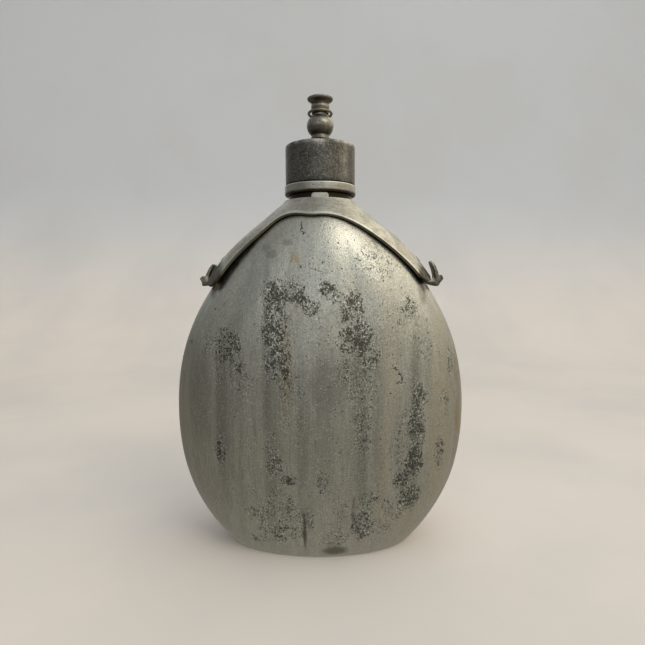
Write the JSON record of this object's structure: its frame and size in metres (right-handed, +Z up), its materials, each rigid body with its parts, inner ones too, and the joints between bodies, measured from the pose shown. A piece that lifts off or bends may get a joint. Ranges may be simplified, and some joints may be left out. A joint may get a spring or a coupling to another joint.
{
  "type": "field flask",
  "caption": "Flattened oval aluminium field flask with lobed sides, a strap yoke with hooks, and a screw cap with a turned knob and a loose ring.",
  "frame": {"origin": "centre of the flat foot, on the surface that the flask stands on", "axes": "+Z up along the neck, +X across the flask towards the right-hand strap hook, -Y towards the front"},
  "size_m": [0.153, 0.0716, 0.2335],
  "materials": {
    "bottle_aluminium": "brushed, dull, with dark corrosion",
    "turned_aluminium": "turned, dull",
    "collar_aluminium": "worn bright",
    "yoke_sheet": "worn sheet",
    "hook_metal": "dirty, dark in the corners",
    "cap_metal": "dark grey, pitted",
    "knob_metal": "dark grey, turned",
    "ring_wire": "tarnished",
    "cork": "cork"
  },
  "bodies": {
    "bottle": {"body_shell": "bottle_aluminium", "mouthpiece": "turned_aluminium", "collar_ring": "collar_aluminium", "yoke": "yoke_sheet", "strap_hook_left": "hook_metal", "strap_hook_right": "hook_metal", "hook_rivet_left": "yoke_sheet", "hook_rivet_right": "yoke_sheet"},
    "seal": {"sealing_disc": "cork"},
    "cap": {"cap_shell": "cap_metal", "knob": "knob_metal", "stem_washer": "turned_aluminium"},
    "ring": {"chain_ring": "ring_wire"}
  },
  "joints": [
    {"name": "cap_lift", "type": "slide", "parent": "bottle", "child": "seal", "axis": [0, 0, 1], "range_m": [0, 0.0145]},
    {"name": "cap_turn", "type": "hinge", "parent": "seal", "child": "cap", "pos_m": [0, 0, 0.2], "axis": [0, 0, 1], "range_deg": [0, 1485]},
    {"name": "ring_swivel", "type": "hinge", "parent": "cap", "child": "ring", "pos_m": [0, 0, 0.2257], "axis": [0, 0, 1], "continuous": true}
  ],
  "couplings": [
    {"joint": "cap_lift", "follows": "cap_turn", "m_per_rad": 0.00055704}
  ]
}
